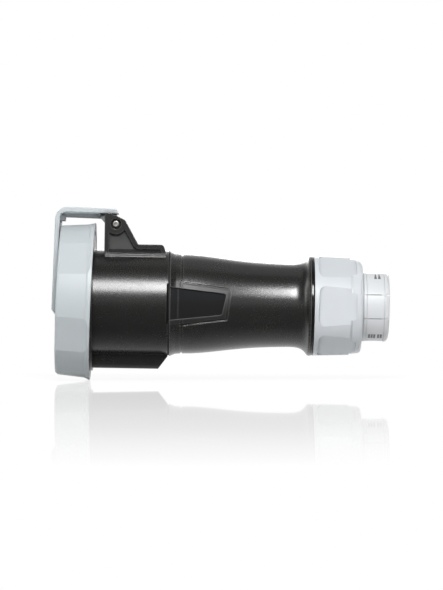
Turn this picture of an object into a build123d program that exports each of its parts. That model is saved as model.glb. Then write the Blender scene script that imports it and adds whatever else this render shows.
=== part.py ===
from build123d import *
import os
from math import cos, radians, sin

# Pin-and-sleeve cable connector with a hinged bayonet lid, in millimetres.
# The body's axis is X: the mouth's rim is the plane X = 0 and faces -X, the cord enters from +X.
# Z is up. The lid's hinge is above the body, along Y.

os.makedirs("parts", exist_ok=True)

# Clearances
turn_gap = 0.3  # plastic pieces that turn or slide on each other
seat_gap = 0.1  # pieces pushed into one another that stay put
pin_gap = 0.06  # shanks in their holes

# Front housing
shell_radius = 42.8
shell_wall = 2.95
front_length = 78.2
mouth_step = 4.2
mouth_length = 15.1
mouth_chamfer = 1.0
flange_height = 8.4
flange_thickness = 2.8
plug_depth = 50.0
shoulder_thickness = 4.0
shoulder_step = 2.7
spigot_step = 4.6
spigot_wall = 2.0
spigot_length = 8.0
keyway_depth = 4.75
keyway_half_width = 6.0
rib_height = 10.2
rib_half_width = 9.5
rib_slant = 2.5
rib_fall = 7.5
rib_corner = 3.5
latch_slot_half_angle = 21.0
latch_slot_width = 1.0
latch_slot_depth = 1.5

# Bayonet
peg_count = 3
peg_height = 7.0
peg_front = 4.5
peg_length = 3.2
peg_half_angle = 12.0
peg_turn = 30.0
lug_overlap = 2.8
lug_thickness = 2.3
lug_clear_of_flange = 1.1

# Hinge
pin_x = 35.2
pin_rise = 20.3
ajar_angle = 1.4
bracket_half_width = 20.4
ear_gap_half = 14.2
ear_front = 9.0
ear_rise = 8.7
ear_top_length = 4.8
ear_back_run = 7.1
ear_back_rise = 3.3
bracket_corner = 2.0
tail_run = 17.9
tail_rise = 4.2
tail_corner = 3.0
tail_slant = 2.5
tail_setback = 2.1
foot_drop = 3.2
frame_width = 3.8
panel_depth = 2.4
boss_radius = 8.4
screw_head_radius = 3.0
screw_head_height = 2.2
screw_pocket_radius = 4.2
screw_pocket_depth = 3.4
screw_radius = 2.0
recess_width = 0.8
nut_across_flats = 7.0
nut_height = 3.2

# Lid and its arm
disc_gap = 3.0
disc_thickness = 5.0
disc_play = 0.4
gasket_inset = 0.4
gasket_width = 8.2
gasket_groove = 1.0
gasket_lift = 0.2
arm_clear_of_ring = 1.2
arm_rise = 12.3
arm_thickness = 4.0
arm_half_width = 13.9
arm_outer_bend = 10.0
arm_inner_bend = 6.0
arm_foot = 13.0
arm_edge = 0.8
arm_foot_chamfer = 5.5
arm_overrun = 1.4
arm_end_round = 3.4
arm_rib_depth = 4.0
knuckle_radius = 6.2
gusset_run = 3.8
gusset_rise = 0.5
hub_radius = 24.0
hub_draft = 20.0

# Bayonet ring
ring_lead = 0.9
ring_overlap = 0.7
ring_play = 1.6
ring_wall = 6.6
ring_draft = 1.8
rim_step = 0.6
rim_width = 4.0
rim_ramp = 1.2
rim_land_depth = 0.6
ring_flat_depth = 1.9
ring_flat_taper = 4.6
ring_flat_runout = 4.2
ring_flat_end = 1.6
ring_flat_count = 6
ring_flat_angle = 26.1
ring_lip_thickness = 2.5
ring_lip_step = 2.2
ring_edge = 1.8
ring_flat_half_width = 16.5
retainer_height = 4.4
retainer_thickness = 1.5
retainer_seat = 1.2
retainer_gap_half_angle = 6.0

# Contacts
shroud_gap = 4.85
nose_front = 1.5
carrier_flange = 6.0
carrier_flange_gap = 0.2
contact_inset = 12.5
line_bore = 4.0
earth_bore = 5.0
pilot_bore = 3.0
sleeve_wall = 1.5
sleeve_front = 5.0
pilot_front = 12.0
entry_gap = 0.35
sleeve_depth = 40.0
sleeve_collar = 1.6
collar_thickness = 3.5
clamp_plate_thickness = 7.0
barrel_length = 24.0
barrel_wall = 2.2
wire_hole_depth = 16.0
slit_width = 0.9
slit_length = 22.0
terminal_screw_radius = 2.0
terminal_screw_spacing = 7.0
terminal_screw_lift = 2.0
carrier_screw_radius = 1.75
carrier_screw_head_radius = 3.4
carrier_screw_head_height = 2.2
carrier_screw_length = 14.0
carrier_screw_inset = 4.0
carrier_screw_count = 3
entry_flare = 0.6

# Handle
gasket_thickness = 1.1
socket_gap = 0.3
step_drop = 2.0
step_length = 4.8
land_drop = 0.5
land_length = 5.0
middle_drop = 3.7
middle_run = 40.9
waist_drop = 2.9
waist_run = 44.0
flare_foot_rise = 1.8
flare_foot_run = 12.3
flare_rise = 4.5
flare_run = 4.5
handle_rim_rise = 0.7
handle_rim_run = 2.0
handle_wall = 3.1
ring_groove_depth = 0.6
ring_groove_width = 1.4
panel_top_length = 45.4
panel_bottom_length = 41.8
panel_front_half = 13.6
panel_back_half = 8.4
panel_corner = 2.0
handle_panel_depth = 1.2
outline_offset = 4.2
outline_width = 1.5
outline_depth = 0.6
outline_corner = 5.0
seam_inset = 0.8
ledge_thickness = 2.7
ledge_height = 3.9

# Gland
gland_step = 7.7
gland_spigot_length = 19.0
gland_gasket_thickness = 2.4
gland_gasket_inset = 0.3
nut_length = 38.8
nut_inset = 0.4
nut_crest_drop = 1.0
nut_flats_front = 3.5
nut_flats_length = 30.3
nut_flat_depth = 3.7
nut_flat_taper = 1.15
nut_flat_count = 6
nut_flat_corner = 6.0
nut_flat_edge = 2.0
nut_flat_half_width = 16.4
nut_groove_back = 4.6
nut_groove_depth = 1.2
nut_groove_width = 1.4
nut_tail_drop = 1.0
nut_end_wall = 4.2
nut_edge = 3.0
grommet_length = 20.5
washer_thickness = 1.5
clamp_step = 5.0
clamp_wall = 14.0  # left round the cord's passage
clamp_length = 21.9
clamp_corner = 3.3
clamp_flange_gap = 1.2
clamp_flange_length = 7.0
clamp_cone_step = 4.0
clamp_band_start = 3.3
clamp_band_length = 14.6
clamp_band_depth = 0.4
post_step = 4.6
jaw_gap = 0.35
guide_thickness = 2.2
guide_rise = 5.1
guide_length = 10.0
guide_x_from_nut = 10.5

# Radii that follow from the sizes above, from the mouth to the clamp
bore_radius = shell_radius - shell_wall
keyway_radius = bore_radius + keyway_depth
mouth_radius = shell_radius + mouth_step
flange_radius = mouth_radius + flange_height
peg_radius = mouth_radius + peg_height
lug_radius = peg_radius - lug_overlap
rib_radius = shell_radius + rib_height
spigot_radius = shell_radius - spigot_step
rear_bore_radius = spigot_radius - spigot_wall
shoulder_radius = rear_bore_radius - shoulder_step
socket_radius = spigot_radius + socket_gap
gasket_outer_radius = mouth_radius - gasket_inset
gasket_inner_radius = gasket_outer_radius - gasket_width
ring_lip_radius = mouth_radius + ring_lip_step
disc_radius = ring_lip_radius - disc_play
ring_bore = flange_radius + ring_play
ring_radius = ring_bore + ring_wall
ring_crest_radius = ring_radius - rim_step
ring_flat_apothem = ring_crest_radius - ring_flat_depth
retainer_radius = ring_bore - retainer_height
retainer_outer = ring_bore + retainer_seat
nose_radius = bore_radius - shroud_gap
contact_circle = nose_radius - contact_inset
carrier_screw_circle = shoulder_radius - carrier_screw_inset
step_radius = shell_radius - step_drop
handle_radius = step_radius - land_drop
middle_radius = handle_radius - middle_drop
waist_radius = middle_radius - waist_drop
flare_foot_radius = waist_radius + flare_foot_rise
flare_radius = flare_foot_radius + flare_rise
handle_end_radius = flare_radius + handle_rim_rise
gland_spigot_radius = handle_end_radius - gland_step
gland_gasket_radius = handle_end_radius - gland_gasket_inset
gland_bore = gland_spigot_radius - handle_wall
ledge_radius = gland_bore - ledge_height
nut_collar_radius = handle_end_radius - nut_inset
nut_crest_radius = nut_collar_radius - nut_crest_drop
nut_flat_apothem = nut_collar_radius - nut_flat_depth
nut_groove_radius = nut_crest_radius - nut_groove_depth
nut_tail_radius = nut_crest_radius - nut_tail_drop
clamp_radius = gland_spigot_radius - clamp_step
clamp_flange_radius = gland_spigot_radius - clamp_flange_gap
clamp_cone_radius = clamp_radius - clamp_cone_step
cable_radius = clamp_radius - clamp_wall
post_half_height = cable_radius - post_step

# Places along the body
flange_back = mouth_length + flange_thickness
shoulder_front = plug_depth + carrier_flange
shoulder_back = shoulder_front + shoulder_thickness
spigot_back = front_length + spigot_length
seam_x = front_length + gasket_thickness
step_x = seam_x + step_length
handle_start = step_x + land_length
middle_x = handle_start + middle_run
waist_x = middle_x + waist_run
flare_foot_x = waist_x + flare_foot_run
flare_x = flare_foot_x + flare_run
handle_end = flare_x + handle_rim_run
socket_back = spigot_back + socket_gap
gland_spigot_back = handle_end + gland_spigot_length
nut_front = handle_end + gland_gasket_thickness + seat_gap
nut_back = nut_front + nut_length
nut_groove_x = nut_front + nut_flats_front + nut_flats_length - nut_groove_back
nut_wall_front = nut_back - nut_end_wall
grommet_front = handle_end - gland_gasket_thickness
grommet_back = grommet_front + grommet_length + gland_gasket_thickness
ledge_front = grommet_front - ledge_thickness
washer_front = grommet_back + seat_gap
washer_back = washer_front + washer_thickness
clamp_front = washer_back + seat_gap
clamp_flange_back = nut_wall_front - seat_gap
clamp_end = nut_back + clamp_length
jaw_front = nut_back + jaw_gap
band_front = nut_back + clamp_band_start
guide_x = nut_back + guide_x_from_nut
guide_offset = (cable_radius + clamp_radius) / 2
guide_half_height = post_half_height + guide_rise

# Places of the lid, the ring and the hinge
pin_z = shell_radius + pin_rise
hinge_pin = Axis((pin_x, 0, pin_z), (0, 1, 0))
pocket_floor = bracket_half_width - screw_pocket_depth
bracket_front = pin_x - ear_front
ear_top = pin_z + ear_rise
ear_back_x = pin_x + ear_back_run
ear_back_z = pin_z + ear_back_rise
tail_front = pin_x + tail_run
tail_top = shell_radius + tail_rise
bracket_back = front_length - tail_setback
tail_back = bracket_back - tail_slant
bracket_foot = shell_radius - foot_drop
disc_back = -disc_gap
disc_front = disc_back - disc_thickness
ring_front = disc_front - ring_lead
ring_back = flange_back + ring_overlap
rim_front = ring_back - rim_width
rim_land = ring_radius - rim_land_depth
flat_back = ring_back - ring_flat_end - ring_flat_runout
lip_back = ring_front + ring_lip_thickness
lug_front = mouth_length - lug_clear_of_flange - lug_thickness
retainer_front = disc_back + turn_gap
leg_rib_back = ring_front - turn_gap
arm_back = ring_front - arm_clear_of_ring
arm_front = arm_back - arm_thickness
arm_top = pin_z + arm_rise
arm_end = pin_x + arm_overrun
rib_under = arm_top - arm_thickness - arm_rib_depth
rib_inside = arm_back + arm_rib_depth
rib_foot = ring_radius + 2 * turn_gap
rib_wide_half = arm_half_width - arm_edge

# Places of the contacts
collar_front = shoulder_back - collar_thickness
plate_back = shoulder_back + clamp_plate_thickness
barrel_back = shoulder_back + barrel_length
wire_hole_front = barrel_back - wire_hole_depth
sleeve_bore_end = sleeve_front + sleeve_depth
screw_hole_front = plate_back - carrier_screw_length - turn_gap
sides = (-1, 1)
near_side = 180  # the direction of -Y in a sketch across the body, in degrees
top_angle = -90  # the top, in degrees from the near side downwards

# Contacts in their places on the carrier, earth at five o'clock as seen on the mating face
contacts = {
    "line_sleeve_left": (line_bore, contact_circle, 180, sleeve_front),
    "line_sleeve_right": (line_bore, contact_circle, 60, sleeve_front),
    "earth_sleeve": (earth_bore, contact_circle, -60, sleeve_front),
    "pilot_sleeve": (pilot_bore, 0, 0, pilot_front),
}


def contact_plane(circle, angle):
    # The plane through a contact's own axis and the body's, with X along the body
    outward = Vector(0, -cos(radians(angle)), sin(radians(angle)))
    return Plane(origin=outward * circle, x_dir=(1, 0, 0), z_dir=Vector(1, 0, 0).cross(outward))


def round_plane(angle, x, radius):
    # A plane square to a radius of the body; the angle is counted from the near side (-Y) downwards
    outward = Vector(0, -cos(radians(angle)), -sin(radians(angle)))
    return Plane(origin=outward * radius + Vector(x, 0, 0), x_dir=(1, 0, 0), z_dir=outward)


def sector(x, inner, outer, middle, half_angle):
    # A piece of a flat ring across the body at x, the angle counted as in round_plane
    with BuildSketch(Plane.YZ.offset(x)) as piece:
        with BuildLine():
            start = near_side + middle - half_angle
            near = CenterArc((0, 0), inner, start, 2 * half_angle)
            far = CenterArc((0, 0), outer, start, 2 * half_angle)
            Line(near @ 0, far @ 0)
            Line(near @ 1, far @ 1)
        make_face()
    return piece.sketch


# Front housing: shell with mouth, flange, rear spigot, keyway rib, hinge bracket and bayonet pegs
with BuildPart() as front_housing:
    with BuildSketch(Plane.XZ):
        with BuildLine():
            Polyline(
                (0, 0),
                (0, mouth_radius - mouth_chamfer),
                (mouth_chamfer, mouth_radius),
                (mouth_length, mouth_radius),
                (mouth_length, flange_radius),
                (flange_back, flange_radius),
                (flange_back, shell_radius),
                (front_length, shell_radius),
                (front_length, spigot_radius),
                (spigot_back, spigot_radius),
                (spigot_back, 0),
                close=True,
            )
        make_face()
    revolve(axis=Axis.X)

    # Rib below with slanted sides, which makes room for the keyway and falls away at its rear end
    with BuildSketch(Plane.YZ.offset(flange_back)) as rib_outline:
        with BuildLine():
            Polyline(
                (-rib_half_width - rib_slant, -rear_bore_radius),
                (-rib_half_width, -rib_radius),
                (rib_half_width, -rib_radius),
                (rib_half_width + rib_slant, -rear_bore_radius),
                close=True,
            )
        make_face()
        fillet(rib_outline.vertices().group_by(Axis.Y)[0], rib_corner)
    extrude(amount=front_length - flange_back)
    with BuildSketch(Plane.XZ):
        with BuildLine():
            Polyline(
                (front_length - rib_fall, -rib_radius),
                (front_length, -shell_radius),
                (front_length, -rib_radius),
                close=True,
            )
        make_face()
    extrude(amount=flange_radius, both=True, mode=Mode.SUBTRACT)

    # Outline of the hinge ears and of the low tail behind them
    with BuildSketch(Plane.XZ.offset(bracket_half_width)) as bracket_outline:
        with BuildLine():
            Polyline(
                (bracket_front, bracket_foot - frame_width),
                (bracket_front, ear_top),
                (bracket_front + ear_top_length, ear_top),
                (ear_back_x, ear_back_z),
                (tail_front, tail_top),
                (tail_back, tail_top),
                (bracket_back, bracket_foot),
                (bracket_back, bracket_foot - frame_width),
                close=True,
            )
        make_face()
        tops = bracket_outline.vertices().filter_by(lambda v: v.Y > bracket_foot + bracket_corner)
        fillet(tops.sort_by(Axis.X)[:-1], bracket_corner)
        fillet(bracket_outline.vertices().sort_by_distance((tail_back, tail_top))[0], tail_corner)
    extrude(amount=-2 * bracket_half_width)

    # Sunk panel in each side of the bracket, round the boss at the pin
    for side in sides:
        with BuildSketch(Plane.XZ.offset(side * bracket_half_width)):
            add(bracket_outline.sketch_local)
            offset(amount=-frame_width, kind=Kind.INTERSECTION, mode=Mode.REPLACE)
            with Locations((pin_x, pin_z)):
                Circle(boss_radius, mode=Mode.SUBTRACT)
        extrude(amount=-side * panel_depth, mode=Mode.SUBTRACT)

    # Gap between the ears, where the lid's knuckle and arm swing
    with BuildSketch(Plane.XZ):
        with BuildLine():
            Polyline(
                (bracket_front, tail_top - frame_width),
                (tail_front, tail_top - frame_width),
                (tail_front, ear_top),
                (bracket_front, ear_top),
                close=True,
            )
        make_face()
    extrude(amount=ear_gap_half, both=True, mode=Mode.SUBTRACT)

    # Bayonet pegs round the mouth
    for index in range(peg_count):
        peg_angle = peg_turn + index * 360 / peg_count
        extrude(
            sector(peg_front, mouth_radius - mouth_chamfer, peg_radius, peg_angle, peg_half_angle),
            amount=peg_length,
        )

    # Inside: plug space, shoulder for the contact carrier and rear bore
    with BuildSketch(Plane.XZ):
        with BuildLine():
            Polyline(
                (0, 0),
                (0, bore_radius),
                (shoulder_front, bore_radius),
                (shoulder_front, shoulder_radius),
                (shoulder_back, shoulder_radius),
                (shoulder_back, rear_bore_radius),
                (spigot_back, rear_bore_radius),
                (spigot_back, 0),
                close=True,
            )
        make_face()
    revolve(axis=Axis.X, mode=Mode.SUBTRACT)

    # Keyway for the plug's key, at six o'clock
    with BuildSketch(Plane.YZ):
        with Locations((0, -keyway_radius / 2)):
            Rectangle(2 * keyway_half_width, keyway_radius)
    extrude(amount=plug_depth, mode=Mode.SUBTRACT)

    # Holes for the hinge screw, with a pocket for its head and one for its nut
    with BuildSketch(Plane.XZ):
        with Locations((pin_x, pin_z)):
            Circle(screw_radius + pin_gap)
    extrude(amount=bracket_half_width, both=True, mode=Mode.SUBTRACT)
    with BuildSketch(Plane.XZ.offset(bracket_half_width)):
        with Locations((pin_x, pin_z)):
            Circle(screw_pocket_radius)
    extrude(amount=-screw_pocket_depth, mode=Mode.SUBTRACT)
    with BuildSketch(Plane.XZ.offset(-bracket_half_width)):
        with Locations((pin_x, pin_z)):
            RegularPolygon(nut_across_flats / 2 + seat_gap, 6, major_radius=False)
    extrude(amount=screw_pocket_depth, mode=Mode.SUBTRACT)

    # Latch slot in the near side, at the seam
    latch_slot = sector(
        front_length - latch_slot_width, shell_radius - latch_slot_depth, rib_radius, 0, latch_slot_half_angle
    )
    extrude(latch_slot, amount=latch_slot_width, mode=Mode.SUBTRACT)

front_housing.part.label = "front_housing"
export_step(front_housing.part, "parts/front_housing.step")

# Lid: disc, hub and hinge arm in one moulding, drawn closed and then swung to its rest
with BuildPart() as lid:
    with BuildSketch(Plane.XZ) as arm_outline:
        with BuildLine():
            Polyline(
                (arm_front, arm_foot_chamfer - arm_foot),
                (arm_front, arm_top),
                (arm_end, arm_top),
                (arm_end, arm_top - arm_thickness),
                (arm_back, arm_top - arm_thickness),
                (arm_back, -arm_foot),
                close=True,
            )
        make_face()
        fillet(arm_outline.vertices().sort_by_distance((arm_end, arm_top))[0], arm_end_round)
        fillet(arm_outline.vertices().sort_by_distance((arm_front, arm_top))[0], arm_outer_bend)
        fillet(arm_outline.vertices().sort_by_distance((arm_back, arm_top - arm_thickness))[0], arm_inner_bend)
    extrude(amount=arm_half_width, both=True)
    fillet(lid.faces().filter_by(Axis.Y).edges(), arm_edge)

    # Rib along the inside of the arm, with a gusset that runs down to the knuckle
    with BuildSketch(Plane.XZ):
        with BuildLine():
            Polyline(
                (arm_front + arm_edge, 0),
                (arm_front + arm_thickness / 2, arm_top - arm_outer_bend),
                (arm_front + arm_outer_bend, arm_top - arm_thickness / 2),
                (pin_x, arm_top - arm_thickness / 2),
                (pin_x, pin_z),
                (bracket_front, pin_z + gusset_rise),
                (bracket_front - gusset_run, rib_under),
                (rib_inside, rib_under),
                (rib_inside, rib_foot),
                (leg_rib_back, rib_foot),
                (leg_rib_back, 0),
                close=True,
            )
        make_face()
    extrude(amount=rib_wide_half - arm_rib_depth, both=True)

    # The rib's sides slant out to the arm's edges, along the top and down the leg
    with BuildSketch(Plane.YZ.offset(arm_back)):
        with Locations((0, rib_under + arm_rib_depth / 2)):
            Trapezoid(2 * rib_wide_half, arm_rib_depth, 45, rotation=180)
    extrude(amount=bracket_front - gusset_run - arm_back)
    with BuildSketch(Plane.XY.offset(rib_foot)):
        with Locations((arm_back + arm_rib_depth / 2, 0)):
            Trapezoid(2 * rib_wide_half, arm_rib_depth, 45, rotation=-90)
    extrude(amount=arm_top - arm_thickness - rib_foot)

    # Knuckle between the ears
    with BuildSketch(Plane.XZ):
        with Locations((pin_x, pin_z)):
            Circle(knuckle_radius)
    extrude(amount=arm_half_width, both=True)

    # Disc with the rim that the ring turns on and the groove for its gasket
    with BuildSketch(Plane.XZ):
        with BuildLine():
            Polyline(
                (disc_front, 0),
                (disc_front, disc_radius),
                (lip_back + turn_gap, disc_radius),
                (lip_back + turn_gap, ring_bore - turn_gap),
                (disc_back, ring_bore - turn_gap),
                (disc_back, gasket_outer_radius + seat_gap),
                (disc_back - gasket_groove, gasket_outer_radius + seat_gap),
                (disc_back - gasket_groove, gasket_inner_radius - seat_gap),
                (disc_back, gasket_inner_radius - seat_gap),
                (disc_back, 0),
                close=True,
            )
        make_face()
    revolve(axis=Axis.X)

    # Hub that joins the arm's foot to the disc
    with BuildSketch(Plane.YZ.offset(arm_back)):
        Circle(hub_radius)
    extrude(amount=disc_front - arm_back, taper=-hub_draft)
    with BuildSketch(Plane.XZ):
        with Locations((pin_x, pin_z)):
            Circle(screw_radius + pin_gap)
    extrude(amount=arm_half_width, both=True, mode=Mode.SUBTRACT)

lid.part = lid.part.rotate(hinge_pin, ajar_angle)
lid.part.label = "lid"
export_step(lid.part, "parts/lid.step")

# Gasket in the lid, which presses on the mouth's rim
with BuildPart() as lid_gasket:
    with BuildSketch(Plane.YZ.offset(disc_back - gasket_groove)):
        Circle(gasket_outer_radius)
        Circle(gasket_inner_radius, mode=Mode.SUBTRACT)
    extrude(amount=gasket_groove - disc_back - gasket_lift)

lid_gasket.part = lid_gasket.part.rotate(hinge_pin, ajar_angle)
lid_gasket.part.label = "lid_gasket"
export_step(lid_gasket.part, "parts/lid_gasket.step")

# Tool for a grip flat of the ring: it falls to the front and curves up at the rim, to a land to rest on
with BuildPart() as grip_tool:
    with BuildSketch(Plane.XZ):
        with BuildLine():
            floor = PolarLine((flat_back, ring_flat_apothem), ring_back - ring_front, 180 + ring_flat_taper)
            runout = TangentArc(floor @ 0, (flat_back + ring_flat_runout, rim_land), tangent=floor % 0 * -1)
            Polyline(
                runout @ 1,
                (ring_back + ring_edge, rim_land),
                (ring_back + ring_edge, ring_radius + ring_edge),
                ((floor @ 1).X, ring_radius + ring_edge),
                floor @ 1,
            )
        make_face()
    extrude(amount=ring_flat_half_width, both=True)

# Bayonet ring that turns on the lid, with grip flats outside and lugs inside
with BuildPart() as bayonet_ring:
    with BuildSketch(Plane.XZ):
        with BuildLine():
            Polyline(
                (ring_front, ring_lip_radius),
                (ring_front, ring_crest_radius - ring_draft),
                (rim_front, ring_crest_radius),
                (rim_front + rim_ramp, ring_radius),
                (ring_back, ring_radius),
                (ring_back, ring_bore),
                (retainer_front + retainer_thickness + seat_gap / 2, ring_bore),
                (retainer_front + retainer_thickness + seat_gap / 2, retainer_outer + seat_gap),
                (retainer_front - seat_gap / 2, retainer_outer + seat_gap),
                (retainer_front - seat_gap / 2, ring_bore),
                (lip_back, ring_bore),
                (lip_back, ring_lip_radius),
                close=True,
            )
        make_face()
    revolve(axis=Axis.X)
    for index in range(ring_flat_count):
        flat_angle = ring_flat_angle + index * 360 / ring_flat_count
        add(grip_tool.part.rotate(Axis.X, flat_angle - top_angle), mode=Mode.SUBTRACT)
    ring_face = bayonet_ring.faces().filter_by(Axis.X).sort_by(Axis.X)[0]
    fillet(ring_face.outer_wire().edges(), ring_edge)
    for index in range(peg_count):
        lug_angle = index * 360 / peg_count
        lug = sector(lug_front, lug_radius, ring_bore + ring_edge, lug_angle, peg_half_angle)
        extrude(lug, amount=lug_thickness)

bayonet_ring.part = bayonet_ring.part.rotate(hinge_pin, ajar_angle)
bayonet_ring.part.label = "bayonet_ring"
export_step(bayonet_ring.part, "parts/bayonet_ring.step")

# Snap ring that keeps the bayonet ring on the lid's rim
with BuildPart() as ring_retainer:
    extrude(
        sector(retainer_front, retainer_radius, retainer_outer, 90, 180 - retainer_gap_half_angle),
        amount=retainer_thickness,
    )

ring_retainer.part = ring_retainer.part.rotate(hinge_pin, ajar_angle)
ring_retainer.part.label = "ring_retainer"
export_step(ring_retainer.part, "parts/ring_retainer.step")

# Hinge screw: pan head with a cross recess, and a shank through both ears and the knuckle
with BuildPart() as hinge_screw:
    with BuildSketch(Plane.XZ.offset(pocket_floor)):
        with Locations((pin_x, pin_z)):
            Circle(screw_head_radius)
    extrude(amount=screw_head_height)
    fillet(hinge_screw.edges().sort_by(Axis.Y)[0], screw_head_height / 2)
    with BuildSketch(Plane.XZ.offset(pocket_floor + screw_head_height)):
        with Locations((pin_x, pin_z)):
            Rectangle(screw_head_radius, recess_width)
            Rectangle(recess_width, screw_head_radius)
    extrude(amount=-screw_head_height / 2, mode=Mode.SUBTRACT)
    with BuildSketch(Plane.XZ.offset(pocket_floor)):
        with Locations((pin_x, pin_z)):
            Circle(screw_radius)
    extrude(amount=-2 * pocket_floor - nut_height)

hinge_screw.part.label = "hinge_screw"
export_step(hinge_screw.part, "parts/hinge_screw.step")

# Hinge nut in its pocket on the far side
with BuildPart() as hinge_nut:
    with BuildSketch(Plane.XZ.offset(-pocket_floor)):
        with Locations((pin_x, pin_z)):
            RegularPolygon(nut_across_flats / 2, 6, major_radius=False)
            Circle(screw_radius + pin_gap, mode=Mode.SUBTRACT)
    extrude(amount=-nut_height)

hinge_nut.part.label = "hinge_nut"
export_step(hinge_nut.part, "parts/hinge_nut.step")

# Sleeve contacts: slit spring tube in front, collar in the middle, barrel with the wire hole behind
for name, (bore, circle, angle, front) in contacts.items():
    plane = contact_plane(circle, angle)
    tube_radius = bore + sleeve_wall
    barrel_radius = bore + barrel_wall
    with BuildPart() as sleeve:
        with BuildSketch(plane):
            with BuildLine():
                Polyline(
                    (front, bore),
                    (front, tube_radius),
                    (collar_front, tube_radius),
                    (collar_front, tube_radius + sleeve_collar),
                    (shoulder_back, tube_radius + sleeve_collar),
                    (shoulder_back, barrel_radius),
                    (barrel_back, barrel_radius),
                    (barrel_back, bore),
                    (wire_hole_front, bore),
                    (wire_hole_front, 0),
                    (sleeve_bore_end, 0),
                    (sleeve_bore_end, bore),
                    close=True,
                )
            make_face()
        revolve(axis=Axis(plane.origin, plane.x_dir))
        tip = plane.origin + plane.x_dir * front
        with BuildSketch(Plane(origin=tip, x_dir=plane.y_dir, z_dir=plane.x_dir)):
            Rectangle(2 * tube_radius, slit_width, rotation=45)
            Rectangle(2 * tube_radius, slit_width, rotation=-45)
        extrude(amount=slit_length, mode=Mode.SUBTRACT)
        with BuildSketch(Plane(origin=plane.origin, x_dir=plane.x_dir, z_dir=plane.y_dir)):
            with Locations(((wire_hole_front + barrel_back) / 2, 0)):
                with GridLocations(terminal_screw_spacing, 0, 2, 1):
                    Circle(terminal_screw_radius)
        extrude(amount=barrel_radius, mode=Mode.SUBTRACT)
    sleeve.part.label = name
    export_step(sleeve.part, f"parts/{name}.step")

# Terminal screws, two in each barrel, with a slot in the end
with BuildPart() as terminal_screws:
    for bore, circle, angle, front in contacts.values():
        plane = contact_plane(circle, angle)
        top = bore + barrel_wall + terminal_screw_lift
        with BuildSketch(Plane(origin=plane.origin, x_dir=plane.x_dir, z_dir=plane.y_dir).offset(top)):
            with Locations(((wire_hole_front + barrel_back) / 2, 0)):
                with GridLocations(terminal_screw_spacing, 0, 2, 1):
                    Circle(terminal_screw_radius - pin_gap)
        extrude(amount=-terminal_screw_lift - barrel_wall - bore / 2)
        with BuildSketch(Plane(origin=plane.origin, x_dir=plane.x_dir, z_dir=plane.y_dir).offset(top)):
            with Locations(((wire_hole_front + barrel_back) / 2, 0)):
                with GridLocations(terminal_screw_spacing, 0, 2, 1):
                    Rectangle(slit_width, 2 * terminal_screw_radius)
        extrude(amount=-terminal_screw_lift / 2, mode=Mode.SUBTRACT)

terminal_screws.part.label = "terminal_screws"
export_step(terminal_screws.part, "parts/terminal_screws.step")

# Contact carrier: nose that the plug's shroud slides over, flange against the shoulder, four stepped holes
with BuildPart() as contact_carrier:
    with BuildSketch(Plane.XZ):
        with BuildLine():
            Polyline(
                (nose_front, 0),
                (nose_front, nose_radius - mouth_chamfer),
                (nose_front + mouth_chamfer, nose_radius),
                (plug_depth, nose_radius),
                (plug_depth, bore_radius - carrier_flange_gap),
                (shoulder_front, bore_radius - carrier_flange_gap),
                (shoulder_front, shoulder_radius - carrier_flange_gap),
                (shoulder_back, shoulder_radius - carrier_flange_gap),
                (shoulder_back, 0),
                close=True,
            )
        make_face()
    revolve(axis=Axis.X)
    for bore, circle, angle, front in contacts.values():
        plane = contact_plane(circle, angle)
        seat_radius = bore + sleeve_wall + seat_gap
        with BuildSketch(plane):
            with BuildLine():
                Polyline(
                    (nose_front, 0),
                    (nose_front, bore + entry_gap + entry_flare),
                    (nose_front + entry_flare, bore + entry_gap),
                    (front, bore + entry_gap),
                    (front, seat_radius),
                    (collar_front, seat_radius),
                    (collar_front, seat_radius + sleeve_collar),
                    (shoulder_back, seat_radius + sleeve_collar),
                    (shoulder_back, 0),
                    close=True,
                )
            make_face()
        revolve(axis=Axis(plane.origin, plane.x_dir), mode=Mode.SUBTRACT)
    with BuildSketch(Plane.YZ.offset(screw_hole_front)):
        with PolarLocations(carrier_screw_circle, carrier_screw_count, start_angle=180):
            Circle(carrier_screw_radius + pin_gap)
    extrude(amount=shoulder_back - screw_hole_front, mode=Mode.SUBTRACT)

contact_carrier.part.label = "contact_carrier"
export_step(contact_carrier.part, "parts/contact_carrier.step")

# Plate behind the shoulder that holds the sleeves' collars and pulls the carrier home
with BuildPart() as carrier_rear:
    with BuildSketch(Plane.YZ.offset(shoulder_back)):
        Circle(rear_bore_radius - carrier_flange_gap)
        for bore, circle, angle, front in contacts.values():
            with Locations(Plane.YZ.to_local_coords(contact_plane(circle, angle).origin)):
                Circle(bore + barrel_wall + seat_gap, mode=Mode.SUBTRACT)
        with PolarLocations(carrier_screw_circle, carrier_screw_count, start_angle=180):
            Circle(carrier_screw_radius + pin_gap, mode=Mode.SUBTRACT)
    extrude(amount=clamp_plate_thickness)

carrier_rear.part.label = "carrier_rear"
export_step(carrier_rear.part, "parts/carrier_rear.step")

# Screws that hold the plate on the carrier
with BuildPart() as carrier_screws:
    with BuildSketch(Plane.YZ.offset(plate_back)):
        with PolarLocations(carrier_screw_circle, carrier_screw_count, start_angle=180):
            Circle(carrier_screw_head_radius)
    extrude(amount=carrier_screw_head_height)
    chamfer(carrier_screws.edges().group_by(Axis.X)[-1], carrier_screw_head_height / 2)
    with BuildSketch(Plane.YZ.offset(plate_back)):
        with PolarLocations(carrier_screw_circle, carrier_screw_count, start_angle=180):
            Circle(carrier_screw_radius)
    extrude(amount=-carrier_screw_length)
    with BuildSketch(Plane.YZ.offset(plate_back + carrier_screw_head_height)):
        with PolarLocations(carrier_screw_circle, carrier_screw_count, start_angle=180):
            Rectangle(carrier_screw_head_radius, recess_width)
            Rectangle(recess_width, carrier_screw_head_radius)
    extrude(amount=-carrier_screw_head_height / 2, mode=Mode.SUBTRACT)

carrier_screws.part.label = "carrier_screws"
export_step(carrier_screws.part, "parts/carrier_screws.step")

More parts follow.
